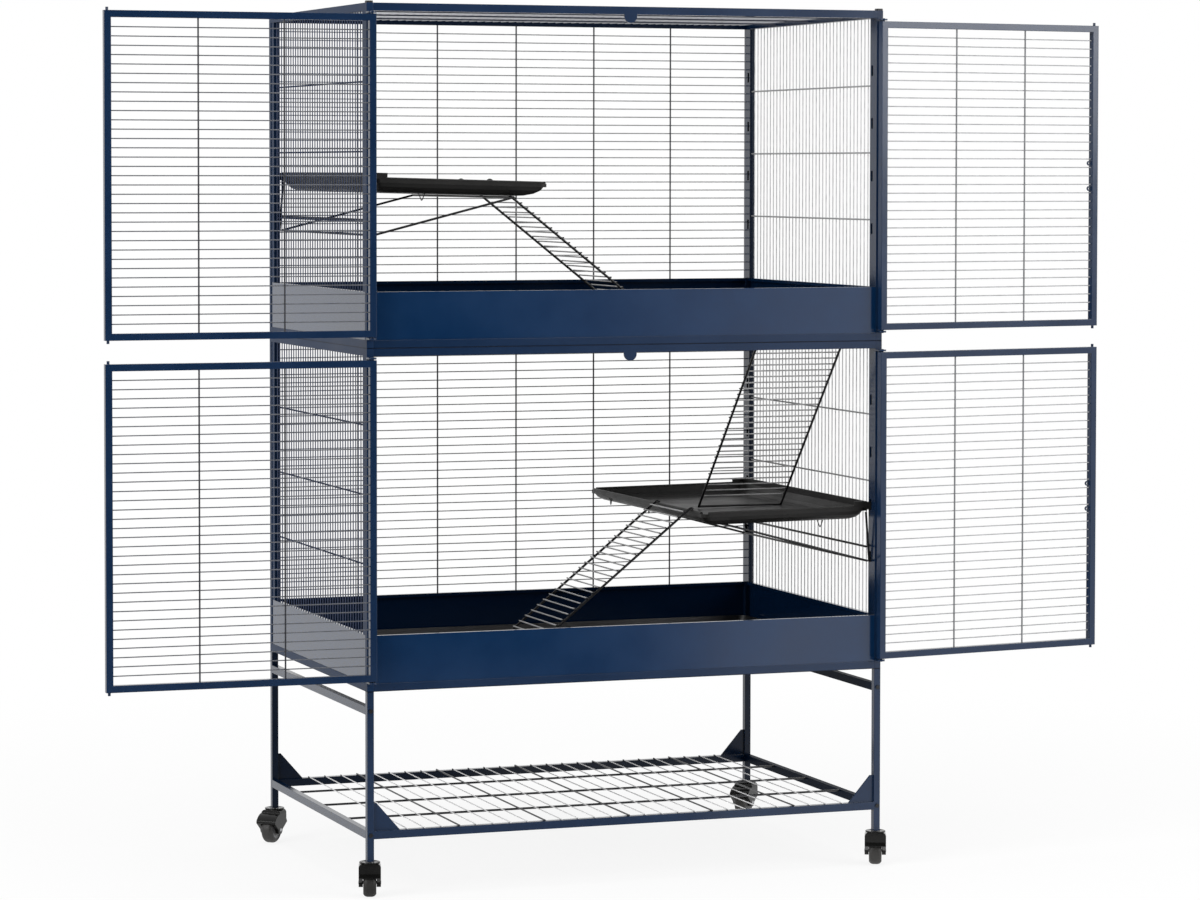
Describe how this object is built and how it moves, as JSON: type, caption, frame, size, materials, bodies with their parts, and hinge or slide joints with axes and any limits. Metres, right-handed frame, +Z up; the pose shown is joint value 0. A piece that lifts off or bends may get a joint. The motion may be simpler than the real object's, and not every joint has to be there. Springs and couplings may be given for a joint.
{
  "type": "ferret cage",
  "caption": "Two-storey wire ferret cage on a wheeled stand, doors swung open, with hooked-in shelves, ladders, trays and a storage grid.",
  "frame": {"origin": "on the floor, in the middle of the overall width with the doors open, and midway between the door hinges in front and the rear posts", "axes": "+X to the right along the front, +Y from the doors to the rear wall, +Z up"},
  "size_m": [1.9086, 0.6677, 1.5665],
  "materials": {
    "frame": "satin",
    "wire": "satin",
    "bracket_wire": "satin",
    "plastic": "matte",
    "caster_body": "gloss",
    "tread": "matte",
    "steel": "satin"
  },
  "bodies": {
    "cage": {"stand_front_frame": "frame", "stand_rear_frame": "frame", "stand_left_rails": "frame", "stand_right_rails": "frame", "stand_bolts": "steel", "storage_grid": "wire", "caster_stems": "steel", "lower_left_side": "frame", "lower_right_side": "frame", "lower_front_rails": "frame", "lower_back_rails": "frame", "lower_left_grille": "wire", "lower_right_grille": "wire", "lower_back_grille": "wire", "lower_guards": "frame", "lower_tray": "plastic", "upper_left_side": "frame", "upper_right_side": "frame", "upper_front_rails": "frame", "upper_back_rails": "frame", "upper_left_grille": "wire", "upper_right_grille": "wire", "upper_back_grille": "wire", "upper_guards": "frame", "upper_tray": "plastic", "roof_grille": "wire", "post_caps": "plastic", "hinge_lugs": "frame", "lower_shelf": "plastic", "upper_shelf": "plastic", "lower_shelf_bracket": "bracket_wire", "upper_shelf_bracket": "bracket_wire"},
    "lower_left_door": {"lower_left_door": "frame", "lower_left_door_grille": "wire"},
    "lower_right_door": {"lower_right_door": "frame", "lower_right_door_grille": "wire"},
    "lower_latch_bail": {"lower_latch": "steel"},
    "upper_left_door": {"upper_left_door": "frame", "upper_left_door_grille": "wire"},
    "upper_right_door": {"upper_right_door": "frame", "upper_right_door_grille": "wire"},
    "upper_latch_bail": {"upper_latch": "steel"},
    "lower_ladder": {"lower_ladder": "bracket_wire"},
    "upper_ladder": {"upper_ladder": "bracket_wire"},
    "passage_ladder": {"passage_ladder": "bracket_wire"},
    "caster_front_left": {"caster_front_left_fork": "caster_body", "caster_front_left_axle": "steel"},
    "wheel_front_left": {"caster_front_left_wheel": "tread"},
    "caster_front_right": {"caster_front_right_fork": "caster_body", "caster_front_right_axle": "steel"},
    "wheel_front_right": {"caster_front_right_wheel": "tread"},
    "caster_rear_left": {"caster_rear_left_fork": "caster_body", "caster_rear_left_axle": "steel"},
    "wheel_rear_left": {"caster_rear_left_wheel": "tread"},
    "caster_rear_right": {"caster_rear_right_fork": "caster_body", "caster_rear_right_axle": "steel"},
    "wheel_rear_right": {"caster_rear_right_wheel": "tread"}
  },
  "joints": [
    {"name": "lower_left_door_hinge", "type": "hinge", "parent": "cage", "child": "lower_left_door", "pos_m": [-0.4843, -0.318, 0.663], "axis": [0, 0, 1], "range_deg": [-43.7, 181.3]},
    {"name": "lower_right_door_hinge", "type": "hinge", "parent": "cage", "child": "lower_right_door", "pos_m": [0.4843, -0.318, 0.663], "axis": [0, 0, 1], "range_deg": [-188.2, 36.8]},
    {"name": "lower_latch_pivot", "type": "hinge", "parent": "lower_left_door", "child": "lower_latch_bail", "pos_m": [-0.94996, -0.29793, 0.663], "axis": [0, 0, 1], "range_deg": [-74, 106]},
    {"name": "upper_left_door_hinge", "type": "hinge", "parent": "cage", "child": "upper_left_door", "pos_m": [-0.4843, -0.318, 1.263], "axis": [0, 0, 1], "range_deg": [-43.7, 181.3]},
    {"name": "upper_right_door_hinge", "type": "hinge", "parent": "cage", "child": "upper_right_door", "pos_m": [0.4843, -0.318, 1.263], "axis": [0, 0, 1], "range_deg": [-188.2, 36.8]},
    {"name": "upper_latch_pivot", "type": "hinge", "parent": "upper_left_door", "child": "upper_latch_bail", "pos_m": [-0.94996, -0.29793, 1.263], "axis": [0, 0, 1], "range_deg": [-74, 106]},
    {"name": "lower_ladder_hooks", "type": "hinge", "parent": "cage", "child": "lower_ladder", "pos_m": [0.15066, -0.135, 0.65443], "axis": [0, 1, 0], "range_deg": [0, 30]},
    {"name": "upper_ladder_hooks", "type": "hinge", "parent": "cage", "child": "upper_ladder", "pos_m": [-0.15078, 0.116, 1.24997], "axis": [0, -1, 0], "range_deg": [0, 30]},
    {"name": "passage_ladder_hooks", "type": "hinge", "parent": "cage", "child": "passage_ladder", "pos_m": [0.35, -0.2765, 0.9764], "axis": [1, 0, 0], "range_deg": [0, 30]},
    {"name": "front_left_swivel", "type": "hinge", "parent": "cage", "child": "caster_front_left", "pos_m": [-0.484, -0.297, 0.065], "axis": [0, 0, 1], "continuous": true},
    {"name": "front_left_spin", "type": "hinge", "parent": "caster_front_left", "child": "wheel_front_left", "pos_m": [-0.47991, -0.28361, 0.025], "axis": [0.9563, -0.2924, 0], "continuous": true},
    {"name": "front_right_swivel", "type": "hinge", "parent": "cage", "child": "caster_front_right", "pos_m": [0.484, -0.297, 0.065], "axis": [0, 0, 1], "continuous": true},
    {"name": "front_right_spin", "type": "hinge", "parent": "caster_front_right", "child": "wheel_front_right", "pos_m": [0.48969, -0.28421, 0.025], "axis": [0.9135, -0.4067, 0], "continuous": true},
    {"name": "rear_left_swivel", "type": "hinge", "parent": "cage", "child": "caster_rear_left", "pos_m": [-0.484, 0.319, 0.065], "axis": [0, 0, 1], "continuous": true},
    {"name": "rear_left_spin", "type": "hinge", "parent": "caster_rear_left", "child": "wheel_rear_left", "pos_m": [-0.49318, 0.30843, 0.025], "axis": [-0.7547, 0.6561, 0], "continuous": true},
    {"name": "rear_right_swivel", "type": "hinge", "parent": "cage", "child": "caster_rear_right", "pos_m": [0.484, 0.319, 0.065], "axis": [0, 0, 1], "continuous": true},
    {"name": "rear_right_spin", "type": "hinge", "parent": "caster_rear_right", "child": "wheel_rear_right", "pos_m": [0.4741, 0.3091, 0.025], "axis": [-0.7071, 0.7071, 0], "continuous": true}
  ]
}
